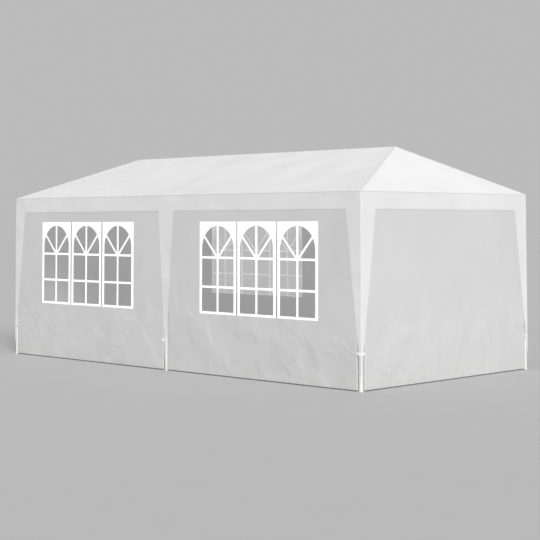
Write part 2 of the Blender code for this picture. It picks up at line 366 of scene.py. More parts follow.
def ground_splash(shading):
    """Where dust and splashes settle: strongest at the ground, and gone at knee height."""
    low = shading.ramp(shading.height_above_ground(), 0.02, 0.42, 1.0, 0.0)
    spots = shading.ramp(shading.noise(shading.place(), 14.0, 6.0), 0.42, 0.78)
    return [shading.times(low, spots)]


def orange_peel(shading):
    """Height of sprayed powder that has run together."""
    return [shading.times(shading.noise(shading.place(), 420.0, 1.0), 0.00012)]


def make_shared_groups():
    height, mask = {"Height": "NodeSocketFloat"}, {"Mask": "NodeSocketFloat"}
    creased = {**height, "Crumpled": "NodeSocketFloat"}
    on_cover = wrinkled(-0.7, 1.2, swell_height=0.005, drag_height=0.002, hanging=False)
    on_wall = wrinkled(0.94, 3.0, swell_height=0.007, drag_height=0.0045, hanging=True)
    return {
        "weave": shared_group("woven_tapes", height, woven_tapes),
        "cover_wrinkles": shared_group("cover_wrinkles", creased, on_cover),
        "wall_wrinkles": shared_group("wall_wrinkles", creased, on_wall),
        "splash": shared_group("ground_splash", mask, ground_splash),
        "peel": shared_group("orange_peel", height, orange_peel),
    }


def new_material(name):
    material = bpy.data.materials.new(name)
    material.use_nodes = True
    return material, Shading(material.node_tree), material.node_tree.nodes["Principled BSDF"]


def shared(shading, tree):
    return shading.node("ShaderNodeGroup", {"node_tree": tree})


def grey(value):
    return (value, value, value, 1)


def soiled(white):
    """White cloth under dust and splashes."""
    return (white * 0.90, white * 0.885, white * 0.855, 1)


def floor_finish():
    material, shading, shader = new_material("studio_floor")
    grain = shading.noise(shading.place(), 3.0, 4.0)
    shading.set_inputs(shader, Base_Color=shading.tint(grain, grey(0.40), grey(0.42)), Roughness=0.85)
    return material


def let_light_through(material, shading, shader, colour, relief, share):
    """Mixes the shader with a share of daylight from behind the cloth."""
    glow = shading.node("ShaderNodeBsdfTranslucent", Color=colour, Normal=relief)
    mix = shading.node("ShaderNodeMixShader", Fac=share)
    shading.feed(mix.inputs[1], shader.outputs[0])
    shading.feed(mix.inputs[2], glow.outputs[0])
    shading.feed(material.node_tree.nodes["Material Output"].inputs["Surface"], mix.outputs[0])


def cloth_finish(name, groups, wrinkles, white, see_through):
    """Coated woven polyethylene: white, with a dull shine, and daylight comes through."""
    material, shading, shader = new_material(name)
    wrinkles = shared(shading, groups[wrinkles])
    weave = shared(shading, groups["weave"])
    splash = shared(shading, groups["splash"])
    cloudy = shading.ramp(shading.noise(shading.place(), 1.9, 3.0), 0.35, 0.65)
    clean = shading.tint(cloudy, grey(white), grey(white * 0.972))
    colour = shading.tint(shading.times(splash.outputs["Mask"], 0.5), clean, soiled(white))
    relief = shading.bump(shading.plus(wrinkles.outputs["Height"], weave.outputs["Height"]))
    shading.set_inputs(
        shader,
        Base_Color=colour,
        Roughness=shading.ramp(wrinkles.outputs["Crumpled"], 0.0, 1.0, 0.60, 0.64),
        Specular_IOR_Level=0.3,
        Normal=relief,
    )
    let_light_through(material, shading, shader, colour, relief, see_through)
    return material


def tape_finish(name, groups, white, see_through):
    """The same cloth cut into tape, for hems, seams, loops and ties, with fine ribs."""
    material, shading, shader = new_material(name)
    splash = shared(shading, groups["splash"])
    colour = shading.tint(splash.outputs["Mask"], grey(white), soiled(white))
    relief = shading.bump(shading.times(shading.noise(shading.place(), 260.0, 2.0), 0.0002))
    shading.set_inputs(shader, Base_Color=colour, Roughness=0.6, Normal=relief)
    let_light_through(material, shading, shader, colour, relief, see_through)
    return material


def thread_finish():
    material, shading, shader = new_material("sewing_thread")
    twist = shading.noise(shading.place(), 900.0, 1.0)
    shading.set_inputs(shader, Base_Color=shading.tint(twist, grey(0.78), grey(0.70)), Roughness=0.7)
    return material


def film_finish():
    """Clear flexible film, grey by its own slight haze, a little wavy."""
    material, shading, shader = new_material("window_film")
    haze = shading.noise(shading.place(), 2.3, 3.0)
    waves = shading.times(shading.noise(shading.place(), 5.0, 1.0), 0.002)
    shading.set_inputs(
        shader,
        Base_Color=shading.tint(haze, grey(0.65), grey(0.69)),
        Roughness=shading.ramp(haze, 0.3, 0.7, 0.10, 0.18),
        Alpha=0.18,
        Normal=shading.bump(waves),
    )
    return material


def print_finish():
    """White ink with a fine crackle. It gives some light of its own, to be as bright as in the photo."""
    material, shading, shader = new_material("printed_white")
    crackle = shading.noise(shading.place(), 60.0, 5.0)
    colour = shading.tint(crackle, grey(0.85), grey(0.82))
    relief = shading.bump(shading.times(crackle, 0.0001))
    shading.set_inputs(
        shader,
        Base_Color=colour,
        Roughness=0.45,
        Emission_Color=grey(1),
        Emission_Strength=0.5,
        Normal=relief,
    )
    let_light_through(material, shading, shader, colour, relief, 0.4)
    return material


def steel_finish(groups):
    """White powder coat, dusty and rubbed through to a duller white near the ground."""
    material, shading, shader = new_material("powder_coated_steel")
    splash = shared(shading, groups["splash"]).outputs["Mask"]
    peel = shared(shading, groups["peel"]).outputs["Height"]
    shading.set_inputs(
        shader,
        Base_Color=shading.tint(splash, grey(0.64), (0.52, 0.50, 0.47, 1)),
        Roughness=shading.ramp(splash, 0.0, 0.6, 0.3, 0.55),
        Coat_Weight=0.2,
        Normal=shading.bump(peel),
    )
    return material


def plastic_finish():
    """Moulded plastic with the fine grain of its mould."""
    material, shading, shader = new_material("moulded_plastic")
    grain = shading.noise(shading.place(), 700.0, 2.0)
    patches = shading.noise(shading.place(), 18.0, 2.0)
    shading.set_inputs(
        shader,
        Base_Color=shading.tint(patches, (0.80, 0.80, 0.79, 1), (0.74, 0.74, 0.73, 1)),
        Roughness=shading.ramp(grain, 0.3, 0.7, 0.42, 0.56),
        Normal=shading.bump(shading.times(grain, 0.00008)),
    )
    return material


def eyelet_finish():
    material, shading, shader = new_material("eyelet_metal")
    tarnish = shading.noise(shading.place(), 90.0, 3.0)
    shading.set_inputs(
        shader,
        Base_Color=shading.tint(tarnish, (0.72, 0.72, 0.70, 1), (0.52, 0.51, 0.48, 1)),
        Metallic=1.0,
        Roughness=shading.ramp(tarnish, 0.3, 0.7, 0.25, 0.45),
    )
    return material


# Meshes


def smoothstep(x, low, high):
    t = np.clip((x - low) / (high - low), 0, 1)
    return t * t * (3 - 2 * t)


def between(value, stops):
    """0 at each stop, 1 midway to the next, and 0 outside them all."""
    return np.sin(math.pi * np.interp(value, stops, np.arange(len(stops)))) ** 2


def swell(a, b, seed, shortest, longest, count=9):
    """Random soft waves over a surface, about -2 to 2, the same on every run."""
    draw = np.random.default_rng(seed)
    total = np.zeros(np.broadcast(a, b).shape)
    for _ in range(count):
        length = draw.uniform(shortest, longest)
        heading = draw.uniform(0, math.pi)
        phase = draw.uniform(0, 2 * math.pi)
        reach = (a * math.cos(heading) + b * math.sin(heading)) / length
        total = total + np.sin(2 * math.pi * reach + phase)
    return total / math.sqrt(count)


def steps(low, high, pitch):
    """Evenly spaced places from low to high, about a pitch apart."""
    return np.linspace(low, high, max(2, round((high - low) / pitch) + 1))


def dense(corners, pitch):
    """The points of a line through corners, about a pitch apart."""
    corners = np.asarray(corners, float)
    runs = []
    for start, end in zip(corners[:-1], corners[1:]):
        count = max(1, round(float(np.linalg.norm(end - start)) / pitch))
        runs.append(start + (end - start) * np.linspace(0, 1, count + 1)[:-1, None])
    return np.concatenate([*runs, corners[-1:]])


def shifted(line, distance, closed=False):
    """A flat line moved to its left by a distance, with mitred corners."""
    ahead = np.roll(line, -1, axis=0) - line
    behind = line - np.roll(line, 1, axis=0)
    if not closed:
        ahead[-1] = behind[-1]
        behind[0] = ahead[0]
    normals = []
    for way in (behind, ahead):
        way = way / np.linalg.norm(way, axis=1, keepdims=True)
        normals.append(np.stack([-way[:, 1], way[:, 0]], axis=1))
    middle = normals[0] + normals[1]
    middle /= np.linalg.norm(middle, axis=1, keepdims=True)
    stretch = np.maximum((middle * normals[1]).sum(axis=1, keepdims=True), 0.3)
    return line + middle * distance / stretch


def link_piece(name, mesh, material):
    piece = bpy.data.objects.new(name, mesh)
    bpy.context.scene.collection.objects.link(piece)
    mesh.materials.append(material)
    return piece


def patch(points, cut=None):
    """A grid of points as (points, quads, cut), with its faces turned away from the middle of the tent."""
    rows, columns = points.shape[:2]
    corner = np.arange(rows * columns).reshape(rows, columns)
    quads = np.stack(
        [corner[:-1, :-1], corner[:-1, 1:], corner[1:, 1:], corner[1:, :-1]], axis=-1
    ).reshape(-1, 4)
    flat = points.reshape(-1, 3)
    across = np.cross(flat[quads[:, 2]] - flat[quads[:, 0]], flat[quads[:, 3]] - flat[quads[:, 1]])
    outward = flat[quads].mean(axis=1) - np.array((0, 0, 1))
    if (across * outward).sum() < 0:
        quads = quads[:, ::-1]
    if cut is None:
        cut = np.zeros((rows, columns, 2))
    return flat, quads, cut.reshape(-1, 2)


def sheet_mesh(name, patches, thickness, material):
    """Patches sewn into one sheet, which keeps its outer face and gets its thickness inwards."""
    points, quads, cuts, start = [], [], [], 0
    for flat, faces, cut in patches:
        points.append(flat)
        quads.append(faces + start)
        cuts.append(cut)
        start += len(flat)
    points, quads, cuts = map(np.concatenate, (points, quads, cuts))
    mesh = bpy.data.meshes.new(name)
    mesh.from_pydata(points.tolist(), [], quads.tolist())
    layer = mesh.uv_layers.new(name="cut")
    corner = np.empty(len(mesh.loops), np.int32)
    mesh.loops.foreach_get("vertex_index", corner)
    layer.uv.foreach_set("vector", cuts[corner].astype(np.float32).ravel())
    shape = bmesh.new()
    shape.from_mesh(mesh)
    bmesh.ops.remove_doubles(shape, verts=shape.verts, dist=1e-5)
    shape.to_mesh(mesh)
    shape.free()
    piece = link_piece(name, mesh, material)
    wall = piece.modifiers.new("thickness", "SOLIDIFY")
    wall.thickness = thickness
    wall.offset = -1
    settle(piece)
    piece.data.shade_smooth()
    piece.data.set_sharp_from_angle(angle=math.radians(40))
    return piece


def settle(piece):
    """Makes an object's modifiers part of its mesh."""
    bpy.context.view_layer.update()
    graph = bpy.context.evaluated_depsgraph_get()
    mesh = bpy.data.meshes.new_from_object(piece.evaluated_get(graph))
    piece.modifiers.clear()
    old = piece.data
    piece.data = mesh
    bpy.data.meshes.remove(old)
    mesh.name = piece.name


def tube_patch(path, radius, sides=8, closed=False):
    """(points, faces) of a round strand along a path."""
    path = np.asarray(path, float)
    ahead = np.roll(path, -1, axis=0) - np.roll(path, 1, axis=0)
    if not closed:
        ahead[0] = path[1] - path[0]
        ahead[-1] = path[-1] - path[-2]
    ahead /= np.linalg.norm(ahead, axis=1, keepdims=True)
    side = np.cross(ahead, (0.31, 0.17, 0.93))
    side /= np.linalg.norm(side, axis=1, keepdims=True)
    other = np.cross(ahead, side)
    turns = np.arange(sides) * 2 * math.pi / sides
    ring = np.cos(turns)[None, :, None] * side[:, None] + np.sin(turns)[None, :, None] * other[:, None]
    points = (path[:, None] + radius * ring).reshape(-1, 3)
    faces = []
    for row in range(len(path) if closed else len(path) - 1):
        start, end = row * sides, (row + 1) % len(path) * sides
        for column in range(sides):
            after = (column + 1) % sides
            faces.append((start + column, start + after, end + after, end + column))
    if not closed:
        faces.append(tuple(range(sides))[::-1])
        faces.append(tuple(len(points) - sides + column for column in range(sides)))
    return points, faces


def joined_mesh(name, parts, material):
    """One piece from parts, each (points, faces)."""
    points, faces, start = [], [], 0
    for part_points, part_faces in parts:
        points.append(part_points)
        faces += [[start + corner for corner in face] for face in part_faces]
        start += len(part_points)
    mesh = bpy.data.meshes.new(name)
    mesh.from_pydata(np.concatenate(points).tolist(), [], faces)
    shape = bmesh.new()
    shape.from_mesh(mesh)
    bmesh.ops.recalc_face_normals(shape, faces=shape.faces[:])
    shape.to_mesh(mesh)
    shape.free()
    mesh.shade_smooth()
    return link_piece(name, mesh, material)


# Cover


def flare(height):
    """How far the valance and its strips stand outside the eave at a height."""
    return FLARE * (EAVE - height)


def leg_axis(height):
    """(x, y) of a corner leg's centre line at a height, for the corner where both are positive."""
    lean = FOOT_SPREAD * (1 - height / FRAME_EAVE)
    return FRAME_X + lean, FRAME_Y + lean


def roof_sag(x, y):
    """How far the taut roof hangs below its flat slopes between the tubes."""
    ax, ay = np.abs(x), np.abs(y)
    side = HALF_WIDTH - ay
    end = HALF_LENGTH - ax
    on_side = side / HALF_WIDTH < end / HIP_RUN
    hip = np.abs(end * HALF_WIDTH - side * HIP_RUN) / math.hypot(HALF_WIDTH, HIP_RUN)
    to_eave = np.where(on_side, side, end)
    to_top = np.where(on_side, ay, np.hypot(ax - HALF_LENGTH + HIP_RUN, ay))
    to_rafter = np.where(on_side, ax, 9.0)

    def held(distance, reach):
        return 1 - np.exp(-np.maximum(distance, 0) / reach)

    hang = held(to_eave, 0.2) * held(to_top, 0.2) * held(hip, 0.16) * held(to_rafter, 0.2)
    buckle = swell(x, y, 4, 0.3, 1.1) * held(to_eave, 0.1) * held(to_top, 0.1) * held(hip, 0.1)
    return ROOF_SAG * hang + ROOF_BUCKLE * buckle


def side_places():
    """Distances along a long side, close together at the folds, that hit the corners of the strips."""
    near_corner = [0, 0.0012, 0.0025, 0.005, 0.015, 0.04, 0.07, 0.105, 0.14, 0.175]
    outer = [HALF_LENGTH - step for step in near_corner]
    inner = list(np.linspace(HALF_LENGTH - STRIP_TOP["side"], MIDDLE_STRIP_TOP, 84))
    middle = [MIDDLE_STRIP_TOP * part for part in (0.85, 0.7, 0.5, 0.25)]
    half = outer + inner + middle
    return np.array([-place for place in half] + [0.0] + half[::-1])


def end_places():
    near_corner = [0, 0.0012, 0.0025, 0.005, 0.015, 0.04, 0.08, 0.12, 0.16, 0.2]
    outer = [HALF_WIDTH - step for step in near_corner]
    inner = list(np.linspace(HALF_WIDTH - STRIP_TOP["end"], 0, 40))[:-1]
    half = outer + inner
    return np.array([-place for place in half] + [0.0] + half[::-1])


PLACES = {"side": side_places(), "end": end_places()}


def roof_at(face, along, rise, lift=0.0):
    """Points of a slope: along is measured on the eave, and rise runs from 0 there to 1 at the top."""
    kind, sign = FACES[face]
    along, rise = np.broadcast_arrays(along, rise)
    up = HALF_WIDTH / SLOPE["side"] if kind == "side" else HIP_RUN / SLOPE["end"]
    out = (RIDGE - EAVE) / SLOPE[kind]
    if kind == "side":
        x = along * (1 - rise * HIP_RUN / HALF_LENGTH)
        y = sign * (HALF_WIDTH * (1 - rise) + lift * out)
    else:
        x = sign * (HALF_LENGTH - HIP_RUN * rise + lift * out)
        y = along * (1 - rise)
    z = EAVE + (RIDGE - EAVE) * rise - roof_sag(x, y) + lift * up
    points = np.stack([x, y, z], axis=-1)
    at_edge = (rise < 1e-9)[..., None]
    return np.where(at_edge, side_at(face, along, EAVE, lift), points)


def side_at(face, along, height, lift=0.0):
    """Points of the valance and its strips: folded at each corner, and rounder towards the leg's foot."""
    kind, sign = FACES[face]
    along, height = np.broadcast_arrays(along, height)
    to_corner = HALF[kind] - np.abs(along)
    down = (EAVE - height) / (EAVE - STRIP_END)
    fold = CORNER_FOLD + FOOT_FOLD * np.clip(down, 0, 1) ** 3
    turn = math.pi / 4 * (1 - np.clip(to_corner / fold, 0, 1))
    outer = HALF[kind] + flare(height)
    reach = np.where(
        to_corner < fold, outer - fold + (fold + lift) * np.sin(turn), np.abs(along) * outer / HALF[kind]
    )
    proud = flare(height) + np.where(to_corner < fold, (fold + lift) * np.cos(turn) - fold, lift)
    if kind == "side":
        half_width = np.maximum(strip_width("side", height, middle=True), MIDDLE_STRIP_FOOT)
        bow = MIDDLE_STRIP_BOW * (1 - smoothstep(height, STRIP_TIP, 0.85))
        bow = bow * np.clip(np.abs(along) / half_width, 0, 1) ** 2
        proud = proud - np.where(np.abs(along) < HALF_LENGTH / 2, bow, 0)
    loose = smoothstep(EAVE - height, 0.0, 0.2) * smoothstep(to_corner, 0.0, 0.25)
    loose = loose * smoothstep(height, STRIP_END, 1.2)
    waves = VALANCE_WAVES * swell(along, height * 0.25, 11 + len(face), 0.35, 1.3)
    proud = proud + (VALANCE_STAND + waves) * loose
    height = height + HEM_WAVES * swell(along, 0 * along, 17 + len(face), 0.5, 1.6) * loose
    reach = reach * np.sign(along + 1e-12)
    stand = sign * (HALF_WIDTH + proud if kind == "side" else HALF_LENGTH + proud)
    return np.stack([reach, stand, height] if kind == "side" else [stand, reach, height], axis=-1)


def strip_width(kind, height, middle=False):
    """Half the width of the middle strip, or the width of a corner's strip on one face, at a height."""
    top = MIDDLE_STRIP_TOP if middle else STRIP_TOP[kind]
    foot = MIDDLE_STRIP_FOOT if middle else STRIP_FOOT
    width = foot + (top - foot) * (np.maximum(height, STRIP_TIP) - STRIP_END) / (HEM - STRIP_END)
    # Below its ties a strip runs out to a point in front of the leg
    left = np.clip((height - TAIL_END) / (STRIP_TIP - TAIL_END), 0.04, 1)
    return width * (left ** 0.4 if middle else left)


def cover_patches():
    patches = []
    rises = np.array(
        [0, 0.002, 0.006, 0.015, 0.03, *np.linspace(0.05, 0.95, 40), 0.97, 0.985, 0.994, 0.998, 1]
    )[:, None]
    band = np.array([EAVE, EAVE - 0.002, EAVE - 0.006, *np.linspace(EAVE - 0.02, HEM, 8)])[:, None]
    tail = np.linspace(STRIP_TIP, TAIL_END, 12)[1:]
    down = np.concatenate([np.linspace(HEM, STRIP_TIP, 50), tail])[:, None]
    for face, (kind, _) in FACES.items():
        places = PLACES[kind][None, :]
        narrowing = HIP_RUN / HALF_LENGTH if kind == "side" else 1.0
        cut = np.stack(np.broadcast_arrays(places * (1 - rises * narrowing), rises * SLOPE[kind]), axis=-1)
        patches.append(patch(roof_at(face, places, rises), cut))
        cut = np.stack(np.broadcast_arrays(places, band - EAVE), axis=-1)
        patches.append(patch(side_at(face, places, band), cut))
        share = (HALF[kind] - places[places > HALF[kind] - STRIP_TOP[kind] - 1e-6]) / STRIP_TOP[kind]
        strips = [sign * (HALF[kind] - share[None, :] * strip_width(kind, down)) for sign in (-1, 1)]
        if kind == "side":
            share = places[np.abs(places) < MIDDLE_STRIP_TOP + 1e-6] / MIDDLE_STRIP_TOP
            strips.append(share[None, :] * strip_width(kind, down, middle=True))
        for along in strips:
            cut = np.stack(np.broadcast_arrays(along, down - EAVE), axis=-1)
            patches.append(patch(side_at(face, along, down), cut))
    return patches


def hem_lines(kind):
    """Hemmed lower edges of the cover on one face, each from one strip's tip to the next strip's."""
    half = HALF[kind]
    corner = [(half - STRIP_TOP[kind], HEM), (half - strip_width(kind, STRIP_TIP), STRIP_TIP)]
    if kind == "end":
        return [[(-along, height) for along, height in corner[::-1]] + corner]
    right = [(strip_width(kind, STRIP_TIP, middle=True), STRIP_TIP), (MIDDLE_STRIP_TOP, HEM), *corner]
    return [[(-along, height) for along, height in right[::-1]], right]


def hip_place(kind, rise, distance):
    """Place on the eave of a column that passes a hip at a distance, measured on the slope."""
    if kind == "side":
        lean = SLOPE["side"] / math.hypot(HIP_RUN, SLOPE["side"])
        narrowing = 1 - rise * HIP_RUN / HALF_LENGTH
    else:
        lean = SLOPE["end"] / math.hypot(HALF_WIDTH, SLOPE["end"])
        narrowing = 1 - rise
    return np.maximum(HALF[kind] - distance / (lean * narrowing), 0)


def hip_rises(kind):
    return np.linspace(0.012, 0.996 if kind == "side" else 0.97, 60)


def cover_tapes():
    """(patches of the tapes, lines of stitches) of the cover's hems and seams.

    A line is (points, outward).
    """
    patches, stitches = [], []
    sewn_at = SEAM_WIDTH * STITCH_LINE
    lift = TAPE + STITCH_LIFT
    for face, (kind, sign) in FACES.items():
        outward = np.array((0, sign, 0) if kind == "side" else (sign, 0, 0), float)
        upward = np.array(
            (0, sign * (RIDGE - EAVE), HALF_WIDTH) if kind == "side" else (sign * (RIDGE - EAVE), 0, HIP_RUN)
        )
        for corners in hem_lines(kind):
            line = dense(corners, CLOTH_GRID)
            rows = [shifted(line, HEM_WIDTH * share) for share in (0.03, 0.5, 1)]
            patches.append(
                patch(np.stack([side_at(face, row[:, 0], row[:, 1], -CLOTH) for row in rows]))
            )
            sewn = shifted(line, HEM_WIDTH * STITCH_LINE)[1:-1]
            stitches.append((side_at(face, sewn[:, 0], sewn[:, 1], STITCH_LIFT), outward))
        places = PLACES[kind]
        depths = EAVE - SEAM_WIDTH * np.array((0.04, 0.4, 1))[:, None]
        patches.append(patch(side_at(face, places[None, :], depths, TAPE)))
        stitches.append((side_at(face, places[1:-1], EAVE - sewn_at, lift), outward))
        rises = hip_rises(kind)
        for side in (-1, 1):
            widths = SEAM_WIDTH * np.array((0, 0.5, 1))[:, None]
            along = side * hip_place(kind, rises[None, :], widths)
            patches.append(patch(roof_at(face, along, np.broadcast_to(rises, along.shape), TAPE)))
            along = side * hip_place(kind, rises, sewn_at)
            stitches.append((roof_at(face, along, rises, lift), upward))
        if kind == "side":
            shares = 1 - SEAM_WIDTH / SLOPE["side"] * np.array((0.02, 0.5, 1))[:, None]
            patches.append(patch(roof_at(face, places[None, :], shares, TAPE)))
            stitches.append((roof_at(face, places, 1 - sewn_at / SLOPE["side"], lift), upward))
    return patches, stitches


def make_cover(cloth, tape, thread):
    cover = sheet_mesh("cover_sheet", cover_patches(), CLOTH, cloth)
    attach(cover, "root")
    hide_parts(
        "roof_cover", "valance_front", "valance_back", "valance_left_end", "valance_right_end"
    )
    patches, lines = cover_tapes()
    tapes = sheet_mesh("cover_hems_and_seams", patches, TAPE, tape)
    stitches = sew("cover_stitches", lines, thread)
    for piece in (tapes, stitches):
        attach(piece, "root")
    widths = sum(2 * (STRIP_TOP[kind] + STRIP_FOOT) for kind in STRIP_TOP)
    widths += 2 * (MIDDLE_STRIP_TOP + MIDDLE_STRIP_FOOT)


# Stitches and eyelets


def group_inputs(tree, sockets):
    """Adds a geometry socket and named inputs, and gives each name's identifier."""
    tree.interface.new_socket("Geometry", in_out="INPUT", socket_type="NodeSocketGeometry")
    names = {}
    for name, kind in sockets.items():
        names[name] = tree.interface.new_socket(name, in_out="INPUT", socket_type=kind).identifier
    tree.interface.new_socket("Geometry", in_out="OUTPUT", socket_type="NodeSocketGeometry")
    return names


def finish_tree(tree, instances, material):
    """Ends a tree: real geometry, shaded smooth, in its material."""
    made = instances
    for kind in ("GeometryNodeRealizeInstances", "GeometryNodeSetShadeSmooth", "GeometryNodeSetMaterial"):
        node = tree.nodes.new(kind)
        tree.links.new(made, node.inputs["Geometry"])
        made = node.outputs["Geometry"]
    tree.links.new(material, node.inputs["Material"])
    tree.links.new(made, tree.nodes.new("NodeGroupOutput").inputs[0])


def outward_rotation(shading, forward=None):
    """A rotation that turns Z to the line's stored outward direction, and X forward if that is given."""
    outward = shading.node(
        "GeometryNodeInputNamedAttribute", {"data_type": "FLOAT_VECTOR"}, Name="outward"
    ).outputs["Attribute"]
    if forward is None:
        return shading.node("FunctionNodeAlignRotationToVector", {"axis": "Z"}, Vector=outward).outputs[0]
    turned = shading.node("FunctionNodeAlignRotationToVector", {"axis": "X"}, Vector=forward).outputs[0]
    return shading.node(
        "FunctionNodeAlignRotationToVector",
        {"axis": "Z", "pivot_axis": "X"},
        Rotation=turned,
        Vector=outward,
    ).outputs[0]


def stitch_tree():
    tree = bpy.data.node_groups.new("stitches", "GeometryNodeTree")
    sizes = {name: "NodeSocketFloat" for name in ("Pitch", "Length", "Thread")}
    names = group_inputs(tree, {**sizes, "Material": "NodeSocketMaterial"})
    shading = Shading(tree)
    given = tree.nodes.new("NodeGroupInput")
    line = shading.node("GeometryNodeMeshToCurve", Mesh=given.outputs["Geometry"])
    line = shading.node(
        "GeometryNodeResampleCurve", {"mode": "LENGTH"}, Curve=line.outputs[0], Length=given.outputs["Pitch"]
    )
    bead = shading.node("GeometryNodeMeshUVSphere", Segments=6, Rings=3, Radius=0.5)
    size = shading.node(
        "ShaderNodeCombineXYZ",
        X=given.outputs["Length"],
        Y=given.outputs["Thread"],
        Z=given.outputs["Thread"],
    )
    rotation = outward_rotation(shading, shading.node("GeometryNodeInputTangent").outputs[0])
    beads = shading.node(
        "GeometryNodeInstanceOnPoints",
        Points=line.outputs[0],
        Instance=bead.outputs["Mesh"],
        Rotation=rotation,
        Scale=size.outputs[0],
    )
    finish_tree(tree, beads.outputs[0], given.outputs["Material"])
    return tree, names


def eyelet_tree():
    tree = bpy.data.node_groups.new("eyelets", "GeometryNodeTree")
    sizes = {name: "NodeSocketFloat" for name in ("Hole Radius", "Rim Radius")}
    names = group_inputs(tree, {**sizes, "Material": "NodeSocketMaterial"})
    shading = Shading(tree)
    given = tree.nodes.new("NodeGroupInput")
    middle = shading.plus(given.outputs["Hole Radius"], given.outputs["Rim Radius"])
    circle = shading.node("GeometryNodeCurvePrimitiveCircle", Resolution=20, Radius=middle)
    rim = shading.node(
        "GeometryNodeCurvePrimitiveCircle", Resolution=8, Radius=given.outputs["Rim Radius"]
    )
    ring = shading.node("GeometryNodeCurveToMesh", Curve=circle.outputs[0], Profile_Curve=rim.outputs[0])
    rings = shading.node(
        "GeometryNodeInstanceOnPoints",
        Points=given.outputs["Geometry"],
        Instance=ring.outputs[0],
        Rotation=outward_rotation(shading),
    )
    finish_tree(tree, rings.outputs[0], given.outputs["Material"])
    return tree, names


def grow(name, points, edges, outward, tree, names, values, material):
    """Runs a node tree on points that know which way is out, and keeps the result as a plain mesh."""
    mesh = bpy.data.meshes.new(name)
    mesh.from_pydata(points, edges, [])
    stored = mesh.attributes.new("outward", "FLOAT_VECTOR", "POINT")
    stored.data.foreach_set("vector", np.asarray(outward, np.float32).ravel())
    piece = bpy.data.objects.new(name, mesh)
    modifier = piece.modifiers.new(name, "NODES")
    modifier.node_group = tree
    for key, value in {**values, "Material": material}.items():
        modifier[names[key]] = value
    bpy.context.scene.collection.objects.link(piece)
    settle(piece)
    return piece


def sew(name, lines, thread):
    """Stitches along lines, each (points, outward)."""
    points, edges, outward = [], [], []
    for line, out in lines:
        start = len(points)
        points += line.tolist()
        edges += [(start + n, start + n + 1) for n in range(len(line) - 1)]
        outward += [out / np.linalg.norm(out)] * len(line)
    values = {"Pitch": STITCH_PITCH, "Length": STITCH_LENGTH, "Thread": THREAD}
    return grow(name, points, edges, outward, *STITCHES, values, thread)


# Walls


def snug(height):
    """How far a wall's outer face stands outside its solid's, to lie just behind the flared strips."""
    return WALL_INSET + flare(height) - CLOTH - TAPE - STRIP_GAP


